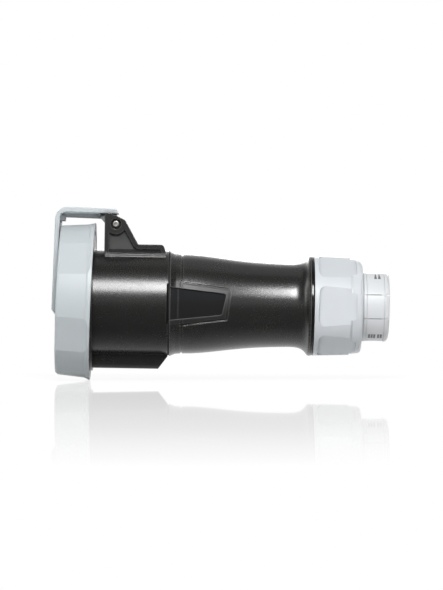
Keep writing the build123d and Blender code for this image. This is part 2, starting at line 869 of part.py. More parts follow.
# Flat gasket in the seam between the two housings
with BuildPart() as housing_gasket:
    with BuildSketch(Plane.YZ.offset(front_length)):
        Circle(shell_radius - seam_inset)
        Circle(socket_radius, mode=Mode.SUBTRACT)
    extrude(amount=gasket_thickness)

housing_gasket.part.label = "housing_gasket"
export_step(housing_gasket.part, "parts/housing_gasket.step")


def handle_outline(depth):
    # The handle's outer profile, depth below its surface: short step, slow taper to the waist, flare
    with BuildSketch(Plane.XZ) as outline:
        with BuildLine():
            step = Line((seam_x, shell_radius - depth), (step_x, step_radius - depth))
            land = Line(step @ 1, (handle_start, handle_radius - depth))
            taper = Spline(
                land @ 1,
                (middle_x, middle_radius - depth),
                (waist_x, waist_radius - depth),
                (flare_foot_x, flare_foot_radius - depth),
                (flare_x, flare_radius - depth),
            )
            rim = Line(taper @ 1, (handle_end, handle_end_radius - depth))
            Polyline(rim @ 1, (handle_end, 0), (seam_x, 0), step @ 0)
        make_face()
    return outline.sketch


# Tool for the sunk panel on the near side: its outline, kept only below the handle's surface
with BuildPart() as panel_tool:
    with BuildSketch(Plane.XZ) as panel_outline:
        with BuildLine():
            Polyline(
                (seam_x - outline_offset, panel_front_half),
                (seam_x + panel_top_length, panel_back_half),
                (seam_x + panel_bottom_length, -panel_back_half),
                (seam_x - outline_offset, -panel_front_half),
                close=True,
            )
        make_face()
        fillet(panel_outline.vertices().group_by(Axis.X)[1:], panel_corner)
    extrude(amount=shell_radius)
    add(revolve(handle_outline(handle_panel_depth), axis=Axis.X, mode=Mode.PRIVATE), mode=Mode.SUBTRACT)

# Tool for the groove that runs round the panel at a distance, starting at the groove round the body
with BuildPart() as outline_tool:
    with BuildSketch(Plane.XZ):
        with BuildLine():
            Polyline(
                (handle_start - outline_width, panel_front_half + outline_offset),
                (seam_x + panel_top_length + outline_offset, panel_back_half + outline_offset),
                (seam_x + panel_bottom_length + outline_offset, -panel_back_half - outline_offset),
                (handle_start - outline_width, -panel_front_half - outline_offset),
                close=True,
            )
        make_face()
        fillet(vertices().group_by(Axis.X)[2:], outline_corner)
        offset(amount=-outline_width, kind=Kind.INTERSECTION, mode=Mode.SUBTRACT)
        with Locations((handle_start - outline_width / 2, 0)):
            Rectangle(outline_width + 2 * pin_gap, 2 * panel_front_half, mode=Mode.SUBTRACT)
    extrude(amount=shell_radius)
    add(revolve(handle_outline(outline_depth), axis=Axis.X, mode=Mode.PRIVATE), mode=Mode.SUBTRACT)

# Rear housing: handle with its socket for the front housing and its spigot for the gland
with BuildPart() as rear_housing:
    revolve(handle_outline(0), axis=Axis.X)
    with BuildSketch(Plane.YZ.offset(handle_end)):
        Circle(gland_spigot_radius)
    extrude(amount=gland_spigot_length)
    with BuildSketch(Plane.XZ):
        with BuildLine():
            Polyline(
                (seam_x, 0),
                (seam_x, socket_radius),
                (socket_back, socket_radius),
                (socket_back, handle_radius - handle_wall),
                (waist_x, waist_radius - handle_wall),
                (ledge_front, waist_radius - handle_wall),
                (ledge_front, ledge_radius),
                (grommet_front, ledge_radius),
                (grommet_front, gland_bore),
                (gland_spigot_back, gland_bore),
                (gland_spigot_back, 0),
                close=True,
            )
        make_face()
    revolve(axis=Axis.X, mode=Mode.SUBTRACT)
    with BuildSketch(Plane.XZ):
        with Locations((handle_start, handle_radius)):
            Rectangle(ring_groove_width, 2 * ring_groove_depth)
    revolve(axis=Axis.X, mode=Mode.SUBTRACT)
    add(panel_tool.part, mode=Mode.SUBTRACT)
    add(outline_tool.part, mode=Mode.SUBTRACT)

rear_housing.part.label = "rear_housing"
export_step(rear_housing.part, "parts/rear_housing.step")

# Glossy ring between the handle and the nut
with BuildPart() as gland_gasket:
    with BuildSketch(Plane.YZ.offset(handle_end)):
        Circle(gland_gasket_radius)
        Circle(gland_spigot_radius + seat_gap, mode=Mode.SUBTRACT)
    extrude(amount=gland_gasket_thickness)
    chamfer(gland_gasket.faces().sort_by(Axis.X)[-1].outer_wire().edges(), gland_gasket_thickness / 3)

gland_gasket.part.label = "gland_gasket"
export_step(gland_gasket.part, "parts/gland_gasket.step")

# Rubber grommet that seals on the cord
with BuildPart() as grommet:
    with BuildSketch(Plane.YZ.offset(grommet_front)):
        Circle(gland_bore - seat_gap)
        Circle(cable_radius + seat_gap, mode=Mode.SUBTRACT)
    extrude(amount=grommet_back - grommet_front)

grommet.part.label = "grommet"
export_step(grommet.part, "parts/grommet.step")

# Slip washer between the grommet and the clamp body
with BuildPart() as slip_washer:
    with BuildSketch(Plane.YZ.offset(washer_front)):
        Circle(gland_spigot_radius)
        Circle(cable_radius + turn_gap, mode=Mode.SUBTRACT)
    extrude(amount=washer_thickness)

slip_washer.part.label = "slip_washer"
export_step(slip_washer.part, "parts/slip_washer.step")

# Gland nut: six sunk grip flats between two round collars, and an end wall that carries the clamp body
with BuildPart() as gland_nut:
    with BuildSketch(Plane.XZ) as nut_profile:
        with BuildLine():
            Polyline(
                (nut_front, gland_spigot_radius + turn_gap),
                (nut_front, nut_collar_radius),
                (nut_groove_x, nut_crest_radius),
                (nut_groove_x, nut_groove_radius),
                (nut_groove_x + nut_groove_width, nut_groove_radius),
                (nut_groove_x + nut_groove_width, nut_tail_radius),
                (nut_back, nut_tail_radius - nut_edge / 4),
                (nut_back, clamp_radius + turn_gap),
                (nut_wall_front, clamp_radius + turn_gap),
                (nut_wall_front, gland_spigot_radius + turn_gap),
                close=True,
            )
        make_face()
        fillet(nut_profile.vertices().group_by(Axis.X)[-1].sort_by(Axis.Y)[-1], nut_edge)
    revolve(axis=Axis.X)
    for index in range(nut_flat_count):
        seat = round_plane(index * 360 / nut_flat_count, nut_front + nut_flats_front, nut_flat_apothem)
        with BuildSketch(seat.rotated((0, nut_flat_taper, 0))):
            with Locations((nut_flats_length / 2, 0)):
                RectangleRounded(nut_flats_length, 2 * nut_flat_half_width, nut_flat_corner)
        extrude(amount=nut_collar_radius - nut_flat_apothem + nut_flat_edge, mode=Mode.SUBTRACT)

gland_nut.part.label = "gland_nut"
export_step(gland_nut.part, "parts/gland_nut.step")


def clamp_round():
    # The clamp end's outer form, a short cylinder with a rounded end and a shallow band
    with BuildSketch(Plane.XZ) as outline:
        with BuildLine():
            Polyline(
                (nut_wall_front, 0),
                (nut_wall_front, clamp_radius),
                (band_front, clamp_radius),
                (band_front, clamp_radius - clamp_band_depth),
                (band_front + clamp_band_length, clamp_radius - clamp_band_depth),
                (band_front + clamp_band_length, clamp_radius),
                (clamp_end, clamp_radius),
                (clamp_end, 0),
                close=True,
            )
        make_face()
        fillet(outline.vertices().group_by(Axis.X)[-1].sort_by(Axis.Y)[-1], clamp_corner)
    return revolve(outline.sketch, axis=Axis.X, mode=Mode.PRIVATE)


# Clamp body: pressing ring inside the nut, two posts beside the cord and the guides that the jaws slide on
with BuildPart() as clamp_body:
    with BuildSketch(Plane.YZ.offset(nut_back)):
        Rectangle(2 * clamp_radius, 2 * post_half_height)
    extrude(amount=clamp_length)
    with BuildSketch(Plane.YZ.offset(nut_wall_front)):
        Circle(clamp_radius)
    extrude(amount=nut_end_wall)
    add(clamp_round(), mode=Mode.INTERSECT)
    with BuildSketch(Plane.XY.offset(-guide_half_height)):
        with Locations((guide_x, guide_offset), (guide_x, -guide_offset)):
            Rectangle(guide_length, guide_thickness)
    extrude(amount=2 * guide_half_height)
    with BuildSketch(Plane.XZ):
        with BuildLine():
            Polyline(
                (clamp_front, 0),
                (clamp_front, clamp_cone_radius),
                (clamp_flange_back - clamp_flange_length, clamp_cone_radius),
                (clamp_flange_back - clamp_flange_length, clamp_flange_radius),
                (clamp_flange_back, clamp_flange_radius),
                (clamp_flange_back, clamp_radius),
                (nut_wall_front, clamp_radius),
                (nut_wall_front, 0),
                close=True,
            )
        make_face()
    revolve(axis=Axis.X)
    with BuildSketch(Plane.YZ.offset(clamp_front)):
        Circle(cable_radius)
    extrude(amount=clamp_end - clamp_front, mode=Mode.SUBTRACT)

clamp_body.part.label = "clamp_body"
export_step(clamp_body.part, "parts/clamp_body.step")

# Clamp jaws above and below the cord, slotted for the guides
for name, side in (("clamp_jaw_upper", 1), ("clamp_jaw_lower", -1)):
    with BuildPart() as jaw:
        with BuildSketch(Plane.YZ.offset(jaw_front)):
            with Locations((0, side * (post_half_height + jaw_gap + clamp_radius / 2))):
                Rectangle(2 * clamp_radius, clamp_radius)
        extrude(amount=clamp_end - jaw_front)
        add(clamp_round(), mode=Mode.INTERSECT)
        with BuildSketch(Plane.YZ.offset(jaw_front)):
            Circle(cable_radius)
        extrude(amount=clamp_end - jaw_front, mode=Mode.SUBTRACT)
        with BuildSketch(Plane.XY):
            with Locations((guide_x, guide_offset), (guide_x, -guide_offset)):
                Rectangle(guide_length + 2 * turn_gap, guide_thickness + 2 * turn_gap)
        extrude(amount=side * (guide_half_height + turn_gap), mode=Mode.SUBTRACT)
    jaw.part.label = name
    export_step(jaw.part, f"parts/{name}.step")
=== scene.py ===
import math
import bpy
import numpy as np
from mathutils import Matrix, Vector


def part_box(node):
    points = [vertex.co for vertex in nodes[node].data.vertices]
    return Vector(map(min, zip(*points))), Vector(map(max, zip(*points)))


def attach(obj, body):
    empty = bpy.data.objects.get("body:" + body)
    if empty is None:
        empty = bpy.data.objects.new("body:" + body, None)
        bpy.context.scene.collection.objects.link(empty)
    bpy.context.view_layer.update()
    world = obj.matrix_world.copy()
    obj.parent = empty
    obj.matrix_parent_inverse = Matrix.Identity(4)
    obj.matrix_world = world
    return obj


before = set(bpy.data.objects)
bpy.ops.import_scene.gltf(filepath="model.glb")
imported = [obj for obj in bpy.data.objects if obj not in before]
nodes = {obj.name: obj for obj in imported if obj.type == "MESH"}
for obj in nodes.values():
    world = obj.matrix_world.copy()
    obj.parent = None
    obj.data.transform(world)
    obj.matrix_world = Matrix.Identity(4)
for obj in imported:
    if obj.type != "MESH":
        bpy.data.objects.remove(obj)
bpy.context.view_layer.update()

print("frame loaded:", len(nodes), "nodes")


class Wire:
    # wraps a node socket, so that + - * / on it add Math nodes
    def __init__(self, shop, socket):
        self.shop = shop
        self.socket = socket

    def math(self, operation, *values):
        return self.shop.node("ShaderNodeMath", {"operation": operation}, dict(enumerate(values)))

    def __add__(self, other):
        return self.math("ADD", self, other)

    def __radd__(self, other):
        return self.math("ADD", other, self)

    def __sub__(self, other):
        return self.math("SUBTRACT", self, other)

    def __rsub__(self, other):
        return self.math("SUBTRACT", other, self)

    def __mul__(self, other):
        return self.math("MULTIPLY", self, other)

    def __rmul__(self, other):
        return self.math("MULTIPLY", other, self)

    def __truediv__(self, other):
        return self.math("DIVIDE", self, other)

    def absolute(self):
        return self.math("ABSOLUTE", self)

    def least(self, other):
        return self.math("MINIMUM", self, other)

    def most(self, other):
        return self.math("MAXIMUM", self, other)

    def clamped(self):
        return self.most(0.0).least(1.0)

    def above(self, edge):
        return self.math("GREATER_THAN", self, edge)

    def below(self, edge):
        return self.math("LESS_THAN", self, edge)

    def rise(self, start, end):
        # smooth step from 0 at start to 1 at end
        return self.shop.node("ShaderNodeMapRange", {"interpolation_type": "SMOOTHSTEP"},
                              {"Value": self, "From Min": start, "From Max": end})

    def band(self, centre, half, soft):
        # 1 within half of the centre, falling to 0 over soft beyond it
        return 1.0 - (self - centre).absolute().rise(half, half + soft)


class Shop:
    # one material's node tree; node() makes any node from its type, settings and sockets
    def __init__(self, name, tree=None):
        if tree is None:
            self.material = bpy.data.materials.new(name)
            self.material.use_nodes = True
            tree = self.material.node_tree
        self.tree = tree
        self.tree.nodes.clear()

    def raw(self, kind, settings=None, sockets=None):
        made = self.tree.nodes.new(kind)
        for key, value in (settings or {}).items():
            if key == "stops":
                setStops(made.color_ramp, value)
            else:
                setattr(made, key, value)
        for key, value in (sockets or {}).items():
            if isinstance(value, Wire):
                self.tree.links.new(value.socket, made.inputs[key])
            else:
                made.inputs[key].default_value = value
        return made

    def node(self, kind, settings=None, sockets=None, out=0):
        return Wire(self, self.raw(kind, settings, sockets).outputs[out])

    def place(self):
        # Object coordinates, which are the frame's own metres
        return self.node("ShaderNodeTexCoord", out="Object")

    def axes(self, where=None):
        # the three coordinates, each on a wire of its own
        split = self.raw("ShaderNodeSeparateXYZ", None, {0: where or self.place()})
        return [Wire(self, split.outputs[index]) for index in range(3)]

    def stretched(self, stretch, turn=(0.0, 0.0, 0.0)):
        # Object coordinates, turned and then scaled along each axis
        turned = self.node("ShaderNodeMapping", None, {"Vector": self.place(), "Rotation": turn})
        return self.node("ShaderNodeMapping", None, {"Vector": turned, "Scale": stretch})

    def noise(self, scale, detail, roughness, where=None):
        return self.node("ShaderNodeTexNoise", None, {
            "Vector": where or self.place(), "Scale": scale, "Detail": detail, "Roughness": roughness})

    def colour(self, factor, first, second):
        # between two colours, each a tuple or a wire; 0, 6, 7 and 2 are a colour Mix node's own sockets
        return self.node("ShaderNodeMix", {"data_type": "RGBA"}, {0: factor, 6: first, 7: second}, out=2)

    def blend(self, factor, first, second):
        # between two shaders
        return self.node("ShaderNodeMixShader", None, {0: factor, 1: first, 2: second})

    def rays(self):
        # 1 on rays from the camera, and 1 on those that a polished or clear surface sends on
        path = self.raw("ShaderNodeLightPath")
        kinds = ("Is Camera Ray", "Is Glossy Ray", "Is Transmission Ray")
        seen, glossy, through = (Wire(self, path.outputs[kind]) for kind in kinds)
        return seen, (glossy + through).clamped()

    def crevice(self, reach):
        # 0 in the open, rising towards 1 deep in grooves and inner corners
        return 1.0 - self.node("ShaderNodeAmbientOcclusion", {"samples": 6}, {"Distance": reach}, out="AO")

    def ridge(self, reach):
        # 0 on open faces, rising towards 1 at outer edges
        return 1.0 - self.node("ShaderNodeAmbientOcclusion", {"samples": 6, "inside": True},
                               {"Distance": reach}, out="AO")

    def rounded(self, radius):
        # normals eased over the edges, as a mould leaves them
        return self.node("ShaderNodeBevel", {"samples": 4}, {"Radius": radius})

    def bump(self, height, normal):
        # the height is in metres, so the distance is 1
        return self.node("ShaderNodeBump", None, {"Height": height, "Distance": 1.0, "Normal": normal})

    def surface(self, shader):
        output = self.raw("ShaderNodeOutputMaterial")
        self.tree.links.new(shader.socket, output.inputs["Surface"])
        return self.material

    def finish(self, sockets):
        return self.surface(self.node("ShaderNodeBsdfPrincipled", None, sockets))


def setStops(ramp, stops):
    while len(ramp.elements) < len(stops):
        ramp.elements.new(0.5)
    for element, (position, value) in zip(ramp.elements, stops):
        element.position = position
        element.color = (value, value, value, 1.0)


def paint(red, green, blue):
    # colour picked as 8-bit values, given to the shader in linear light
    def linear(value):
        share = value / 255
        return share / 12.92 if share <= 0.04045 else ((share + 0.055) / 1.055) ** 2.4
    return (linear(red), linear(green), linear(blue), 1.0)


# Camera: long lens, square to the body's side, turned a little so that the body falls to the right
cameraPlan = {
    "aim": (0.1211, 0.0, 0.0075),
    "place": (0.0948, -2.308, 0.0075),
    "seenHeight": 0.4779,
    "sensor": 36.0,
    "clipEnd": 50.0,
    "rollDegrees": 0.97,
}


def makeCamera(plan):
    # the lens is sensor times distance over the height seen at the aim point
    aim = Vector(plan["aim"])
    place = Vector(plan["place"])
    view = aim - place
    data = bpy.data.cameras.new("camera")
    data.sensor_fit = "VERTICAL"
    data.sensor_height = plan["sensor"]
    data.lens = plan["sensor"] * view.length / plan["seenHeight"]
    data.clip_end = plan["clipEnd"]
    camera = bpy.data.objects.new("camera", data)
    bpy.context.collection.objects.link(camera)
    turned = view.to_track_quat("-Z", "Y").to_matrix().to_4x4()
    roll = Matrix.Rotation(math.radians(plan["rollDegrees"]), 4, "Z")
    camera.matrix_world = Matrix.Translation(place) @ turned @ roll
    bpy.context.scene.camera = camera


makeCamera(cameraPlan)
print("camera placed")

# Light: a soft box in front and above, dim ones overhead, behind and at both ends, and a pale room
lightPlan = {
    "boxes": [
        # name, centre, size, watts
        ("frontBox", (0.10, -0.99, 0.72), (0.32, 0.46), 11.8),
        ("topBox", (0.12, 0.30, 1.30), (1.40, 0.80), 1.0),
        ("backBox", (0.10, 1.15, 0.34), (1.00, 0.40), 5.0),
        ("leftBox", (-1.25, 0.05, 0.45), (1.10, 0.70), 5.0),
        ("rightBox", (1.50, 0.05, 0.45), (1.10, 0.70), 4.0),
    ],
    "target": (0.11, 0.0, 0.0),
    "room": 0.14,  # what diffuse rays meet all round
    "front": 0.05,  # what glossy rays meet on the camera's side
    "horizon": 0.36,  # and how much more of it near the horizon
    "horizonHeight": (0.10, 0.35),
    "fade": (0.35, 0.95),  # from the dark front to the white back, along the ray's own Y
}


def makeLights(plan):
    for name, place, size, power in plan["boxes"]:
        data = bpy.data.lights.new(name, "AREA")
        data.shape = "RECTANGLE"
        data.size, data.size_y = size
        data.energy = power
        lamp = bpy.data.objects.new(name, data)
        lamp.location = place
        lamp.visible_camera = False
        toward = Vector(plan["target"]) - Vector(place)
        lamp.rotation_euler = toward.to_track_quat("-Z", "Y").to_euler()
        bpy.context.collection.objects.link(lamp)


def makeRoom(plan):
    # white to the eye; polished surfaces see the white background behind the object and a dark studio
    # in front of it
    world = bpy.data.worlds.new("room")
    bpy.context.scene.world = world
    world.use_nodes = True
    shop = Shop("room", world.node_tree)
    seen, polished = shop.rays()
    across, upward = shop.axes(shop.node("ShaderNodeTexCoord", out="Generated"))[1:]
    low = 1.0 - upward.absolute().rise(*plan["horizonHeight"])
    mirrored = (plan["front"] + low * plan["horizon"]).most(across.rise(*plan["fade"]))
    level = seen + (1.0 - seen) * (polished * mirrored + (1.0 - polished) * plan["room"])
    background = shop.node("ShaderNodeBackground", None, {"Color": (1, 1, 1, 1), "Strength": level})
    output = shop.raw("ShaderNodeOutputWorld")
    shop.tree.links.new(background.socket, output.inputs["Surface"])


makeLights(lightPlan)
makeRoom(lightPlan)
bpy.context.scene.view_settings.view_transform = "Standard"
print("lights placed")

# Floor: white to the eye, with a mirror image that fades towards the camera, and a soft shadow
floorPlan = {
    "colour": (0.64, 0.64, 0.64, 1.0),
    "gap": 0.0002,
    "slopeDegrees": 0.97,
    "contactX": 0.010,
    "halfSize": 3.0,
    "white": (1.0, 1.0, 1.0, 1.0),
    "shadow": 0.22,  # share of the floor's brightness that the lamps give close to the object
    "glow": 1.14,  # evens out the floor in the open, where the lamps give it less than white
    "shadowReach": [(0.20, 0.45), (0.10, 0.40)],  # where that share falls to nothing, along X and Y
    "middleX": 0.11,
    "ior": 1.45,
    "grazing": 0.80,  # what the surface mirrors at the camera's low angle, where the ramp below is read
    "mirrorStart": -1.60,  # metres along Y where the ramp below begins
    "mirrorLength": 1.60,
    "mirror": [(-1.16, 0.0), (-1.10, 0.05), (-0.98, 0.12), (-0.835, 0.20), (-0.65, 0.26), (-0.32, 0.33),
               (-0.05, 0.26)],  # Y and the share of the mirror image there
    "mirrorRoughness": 0.02,
    "mirrorEnd": (0.15, 0.45),  # behind the object the mirror image ends between these lines
    "glossyFrom": (-0.06, 0.03),  # polished faces see the floor go from dark to white between these lines
    "glossyFront": 0.10,  # how bright the dark part is
}


def makeFloor(plan):
    # a flat square through the ring's lowest point, level in the picture
    low = min(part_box("bayonet_ring")[0].z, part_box("lid")[0].z) - plan["gap"]
    slope = math.tan(math.radians(plan["slopeDegrees"]))
    half = plan["halfSize"]
    corners = np.array([(-half, -half), (half, -half), (half, half), (-half, half)])
    points = np.column_stack([corners, low + (corners[:, 0] - plan["contactX"]) * slope])
    mesh = bpy.data.meshes.new("floor")
    mesh.from_pydata(points.tolist(), [], [(0, 1, 2, 3)])
    floor = bpy.data.objects.new("floor", mesh)
    bpy.context.collection.objects.link(floor)
    shop = Shop("paleFloor")
    seen, polished = shop.rays()
    pale = shop.node("ShaderNodeBsdfDiffuse", None, {"Color": plan["colour"]})

    # what the eye sees: white with a shadow near the object, and the mirror image over it
    x, y = shop.axes()[:2]
    xReach, yReach = plan["shadowReach"]
    aside = 1.0 - (x - plan["middleX"]).absolute().rise(*xReach)
    near = aside * (1.0 - y.absolute().rise(*yReach))
    glow = shop.node("ShaderNodeEmission", None, {"Strength": 1.0 + near * (plan["glow"] - 1.0)})
    lit = shop.blend(near * plan["shadow"], glow, pale)
    start, length = plan["mirrorStart"], plan["mirrorLength"]
    stops = [((place - start) / length, share) for place, share in plan["mirror"]]
    ramp = shop.node("ShaderNodeValToRGB", {"stops": stops}, {"Fac": (y - start) / length})
    grazing = shop.node("ShaderNodeFresnel", None, {"IOR": plan["ior"]}) / plan["grazing"]
    share = grazing.least(1.0) * ramp * aside * (1.0 - y.rise(*plan["mirrorEnd"]))
    mirror = shop.node("ShaderNodeBsdfGlossy", None,
                       {"Color": plan["white"], "Roughness": plan["mirrorRoughness"]})
    toEye = shop.blend(share, lit, mirror)

    # what the object's polished faces see of the floor, and what lights the rest
    white = shop.node("ShaderNodeEmission", None, {"Strength": 1.0})
    dim = shop.node("ShaderNodeEmission", None, {"Strength": plan["glossyFront"]})
    toObject = shop.blend(polished, pale, shop.blend(y.rise(*plan["glossyFrom"]), dim, white))
    floor.data.materials.append(shop.surface(shop.blend(seen, toObject, toEye)))


makeFloor(floorPlan)
print("floor laid")


# Moulded plastic: a spark-eroded grain, slow drifts of tone, scuffs, painted shade in the corners, edges
# paler with wear and a painted highlight, and eased edges
def moulded(name, plan, patch=None):
    shop = Shop(name)
    drift = shop.noise(*plan["driftNoise"])
    grain = shop.noise(*plan["grainNoise"])
    scuff = shop.noise(*plan["scuffNoise"], shop.stretched(plan["scuffStretch"], plan["scuffTurn"]))
    scuffed = scuff.rise(*plan["scuffRange"])
    roughness = (plan["roughness"] + (drift - 0.5) * plan["driftRoughness"]
                 + (grain - 0.5) * plan["grainRoughness"] + scuffed * plan["scuffRoughness"])
    tone = shop.colour(drift, plan["colour"], plan["second"])
    if patch:
        # a recess with a finish of its own, whose colour changes with height; that change is painted light
        # and shade
        x, y, z = shop.axes()
        mask = patch["mask"](x, y, z)
        inside = shop.colour(z.rise(*patch["heights"]), patch["low"], patch["high"])
        tone = shop.colour(mask, tone, inside)
        roughness = roughness + mask * patch["rougher"]
    # painted shade: darker in grooves and inner corners, where shade falls
    cornerShaded = shop.colour(shop.crevice(plan["reach"]) * plan["cornerShadeShare"], tone, plan["cornerShade"])
    # paler towards outer edges: partly wear, partly a painted highlight
    edges = shop.ridge(plan["reach"] * plan["wearAndHighlightReach"])
    wornAndHighlighted = shop.colour(edges * plan["wearAndHighlightShare"], cornerShaded, plan["wearAndHighlight"])
    height = grain * plan["grainDepth"] - scuffed * plan["scuffDepth"]
    return {
        "shop": shop,
        "Base Color": wornAndHighlighted,
        "Roughness": roughness,
        "Normal": shop.bump(height, shop.rounded(plan["edge"])),
    }


def finishMoulded(parts, level):
    # level is the specular level, the same all over
    shop = parts.pop("shop")
    return shop.finish({**parts, "Specular IOR Level": level})


def plastic(name, plan, patch=None):
    return finishMoulded(moulded(name, plan, patch), plan["level"])


# Black shell plastic, satin
shellPlan = {
    "colour": paint(31, 31, 31),
    "second": paint(38, 37, 35),
    "driftNoise": (26.0, 3.0, 0.5),  # scale, detail and roughness of the noise
    "driftRoughness": 0.08,
    "grainNoise": (1300.0, 3.0, 0.6),
    "grainRoughness": 0.10,
    "grainDepth": 0.000015,
    "scuffNoise": (60.0, 4.0, 0.65),
    "scuffStretch": (1.0, 9.0, 9.0),
    "scuffTurn": (0.0, 0.0, 0.35),
    "scuffRange": (0.62, 0.80),
    "scuffRoughness": 0.06,
    "scuffDepth": 0.000002,
    "reach": 0.0030,  # how far the painted shade spreads out of a corner
    # painted shade in the corners, near black
    "cornerShade": paint(8, 8, 8),
    "cornerShadeShare": 0.90,
    # paler edges: wear and a painted highlight
    "wearAndHighlight": paint(96, 95, 94),
    "wearAndHighlightShare": 0.80,
    "wearAndHighlightReach": 1 / 3,  # share of the painted shade's reach
    "roughness": 0.26,
    "edge": 0.0007,
    "level": 0.70,
}

# The bracket's sunk panels, a paler and rougher face on both sides, painted paler still towards the foot
# as painted light
bracketPanel = {
    "depth": 0.0180,  # from the middle plane
    "slack": 0.0004,
    "front": 0.0262,
    "back": 0.0575,
    "foot": 0.0430,
    "soft": 0.0001,
    "backFade": 0.0030,
    # painted light: paler towards the foot, darker higher up
    "heights": (0.0450, 0.0560),
    "low": paint(66, 66, 65),
    "high": paint(42, 43, 44),
    "rougher": 0.30,
}


def onBracketPanel(x, y, z):
    plan = bracketPanel
    floor = y.absolute().band(plan["depth"], plan["slack"], plan["soft"])
    back = x.rise(plan["back"] - plan["backFade"], plan["back"])
    return floor * z.above(plan["foot"]) * x.above(plan["front"]) * (1.0 - back)


# The handle's sunk panel on the near side, bare and matte, narrower towards the cord; its colour is near
# black, with a painted bluish sheen that grows towards its top
handlePanel = {
    "start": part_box("rear_housing")[0].x,
    "length": 0.0436,
    "slant": 0.21,  # how far the end leans back for each metre of height
    "frontHalf": 0.0132,
    "backHalf": 0.0084,
    "land": 0.0044,  # width of the band round it, up to the outline groove
    # painted sheen: bluish and paler towards the top, near black below
    "heights": (-0.002, 0.008),
    "low": paint(3, 3, 3),
    "high": paint(10, 13, 20),
    "rougher": 0.56,
}


def insidePanel(x, y, z, margin):
    # inside when the height is under the half height at that place, which falls evenly along the panel;
    # the outline is wider by the margin above, below and towards the cord
    plan = handlePanel
    along = (x - plan["start"] - z * plan["slant"]) / plan["length"]
    half = plan["frontHalf"] + margin + along * (plan["backHalf"] - plan["frontHalf"])
    end = 1.0 + margin / plan["length"]
    return y.below(0.0) * along.above(0.0) * along.below(end) * z.absolute().below(half)


def onHandlePanel(x, y, z):
    return insidePanel(x, y, z, 0.0)


def onHandleLand(x, y, z):
    return insidePanel(x, y, z, handlePanel["land"])


# A narrow slot in the seam between the housings, where the near side's panel begins, painted dark and
# matte as painted shade
slotShadePlan = {
    "ends": (0.0770, 0.0790),
    "half": 0.0160,
    "tone": paint(22, 22, 23),
}


def slotted(name, plan, patch, slotShade, land=None):
    # land gives a field of 0 and 1, and where that is 1 the finish is rougher by the plan's landRougher
    parts = moulded(name, plan, patch)
    shop = parts.pop("shop")
    x, y, z = shop.axes()
    if land:
        parts["Roughness"] = parts["Roughness"] + land(x, y, z) * plan["landRougher"]
    front, back = slotShade["ends"]
    mask = y.below(0.0) * x.above(front) * x.below(back) * z.absolute().below(slotShade["half"])
    shell = shop.node("ShaderNodeBsdfPrincipled", None, {**parts, "Specular IOR Level": plan["level"]})
    # painted shade: a dark matte face over the slot, with no gloss
    gap = shop.node("ShaderNodeBsdfDiffuse", None, {"Color": slotShade["tone"]})
    return shop.surface(shop.blend(mask, shell, gap))


# The handle is a little glossier than the front, and its edges are paler, with wear and a stronger painted
# highlight
handlePlan = dict(shellPlan, wearAndHighlight=paint(112, 110, 108), wearAndHighlightShare=0.85, edge=0.0009, level=0.95,
                  landRougher=0.22)
bracketPatch = {**bracketPanel, "mask": onBracketPanel}
handlePatch = {**handlePanel, "mask": onHandlePanel}
frontPlastic = slotted("frontHousingPlastic", shellPlan, bracketPatch, slotShadePlan)
handlePlastic = slotted("handlePlastic", handlePlan, handlePatch, slotShadePlan, onHandleLand)

# Grey plastic of the lid and its ring
# darker in its corners as painted shade, and paler at its edges with wear and a painted highlight
greyPlan = dict(
    shellPlan, colour=paint(196, 204, 207), second=paint(203, 209, 212), grainNoise=(2000.0, 3.0, 0.6),
    grainDepth=0.000010, cornerShade=paint(132, 138, 142), cornerShadeShare=0.45, wearAndHighlight=paint(222, 225, 227),
    wearAndHighlightShare=0.30, roughness=0.40, level=0.5)
ringPlastic = plastic("greyRingPlastic", greyPlan)

# The lid is the same, with a rougher face painted darker in the hollow under its arm as painted shade, and
# a deeper painted shade between the arm and the ring
lidPlan = dict(greyPlan, cornerShade=paint(80, 84, 87), cornerShadeShare=0.85, reach=0.0040)
armHollowShade = {
    "under": 0.0713,
    "behind": -0.0100,
    "foot": 0.0637,
    "heights": (0.060, 0.070),
    # painted shade: darker grey under the arm
    "low": paint(128, 133, 136),
    "high": paint(134, 139, 142),
    "rougher": 0.10,
}


def inArmHollow(x, y, z):
    return z.below(armHollowShade["under"]) * z.above(armHollowShade["foot"]) * x.above(armHollowShade["behind"])


lidPlastic = plastic("greyLidPlastic", lidPlan, {**armHollowShade, "mask": inArmHollow})

# The nut is the same plastic, a shade lighter
nutPlan = dict(greyPlan, colour=paint(216, 221, 225), second=paint(221, 225, 229),
               scuffTurn=(0.0, 0.0, 1.2), roughness=0.32)
nutPlastic = plastic("greyNutPlastic", nutPlan)

# Insert that carries the contacts, and the plate behind it
insertPlan = dict(shellPlan, colour=paint(38, 39, 41), second=paint(44, 44, 45), roughness=0.48,
                  level=0.5)
insertPlastic = plastic("insertPlastic", insertPlan)

# Nylon washer between the grommet and the clamp
washerPlan = dict(greyPlan, colour=paint(224, 222, 212), second=paint(228, 226, 218), roughness=0.5)
washerPlastic = plastic("washerNylon", washerPlan)

# Pale clamp plastic, with printed marks on the near side: two arrowheads above and a row of ticks below
# darker in its corners and gaps as painted shade
clampPlan = dict(
    greyPlan, colour=paint(225, 228, 231), second=paint(230, 232, 234), cornerShade=paint(84, 87, 91),
    cornerShadeShare=0.95, wearAndHighlight=paint(240, 241, 242), roughness=0.34, reach=0.0022)
markPlan = {
    "ink": paint(62, 64, 68),
    "strength": 0.85,
    "soft": 0.00025,
    "arrowPlaces": [0.2448, 0.2478],
    "arrowHalf": 0.0010,
    "arrowFoot": 0.0226,
    "arrowTip": 0.0266,
    "tickPlaces": [0.2403, 0.2424, 0.2445, 0.2476, 0.2497],
    "tickHalf": 0.0007,
    "tickMiddle": -0.0236,
    "tickLength": 0.0014,
}


